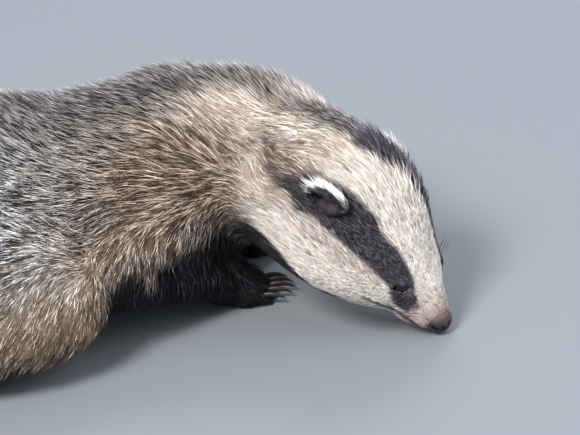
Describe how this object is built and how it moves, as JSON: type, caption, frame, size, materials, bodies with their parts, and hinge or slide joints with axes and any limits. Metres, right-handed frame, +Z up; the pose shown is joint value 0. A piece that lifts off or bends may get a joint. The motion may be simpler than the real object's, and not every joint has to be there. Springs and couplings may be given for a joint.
{
  "type": "european badger",
  "caption": "Life-size European badger, crouched on four feet with its head bent to the floor, in a long grizzled coat with a striped face.",
  "frame": {"origin": "on the floor, under the middle of the badger's bounding box", "axes": "+X towards its front, +Y to its left, +Z up"},
  "size_m": [0.6798, 0.3346, 0.1781],
  "materials": {
    "body_fur": "long bristly hair, buff at the root with a dark band and a white tip",
    "tail_fur": "long shaggy buff hair",
    "face_fur": "short cream hair with two black stripes through eyes and ears",
    "ear_fur": "short black hair with a white rim",
    "leg_fur": "short black hair",
    "nose": "bare moist grey-brown skin",
    "claw": "brown horn",
    "eye": "wet, nearly black"
  },
  "bodies": {
    "root": {"torso_rear": "body_fur", "torso_front": "body_fur", "neck": "body_fur", "tail": "tail_fur", "foreleg_right": "leg_fur", "forepaw_right": "leg_fur", "claw_forepaw_right_1": "claw", "claw_forepaw_right_2": "claw", "claw_forepaw_right_3": "claw", "claw_forepaw_right_4": "claw", "claw_forepaw_right_5": "claw", "foreleg_left": "leg_fur", "forepaw_left": "leg_fur", "claw_forepaw_left_1": "claw", "claw_forepaw_left_2": "claw", "claw_forepaw_left_3": "claw", "claw_forepaw_left_4": "claw", "claw_forepaw_left_5": "claw", "hindleg_right": "leg_fur", "hindpaw_right": "leg_fur", "claw_hindpaw_right_1": "claw", "claw_hindpaw_right_2": "claw", "claw_hindpaw_right_3": "claw", "claw_hindpaw_right_4": "claw", "claw_hindpaw_right_5": "claw", "hindleg_left": "leg_fur", "hindpaw_left": "leg_fur", "claw_hindpaw_left_1": "claw", "claw_hindpaw_left_2": "claw", "claw_hindpaw_left_3": "claw", "claw_hindpaw_left_4": "claw", "claw_hindpaw_left_5": "claw", "nose": "nose", "eye_right": "eye", "ear_right": "ear_fur", "eye_left": "eye", "ear_left": "ear_fur", "head": "face_fur"}
  },
  "joints": []
}
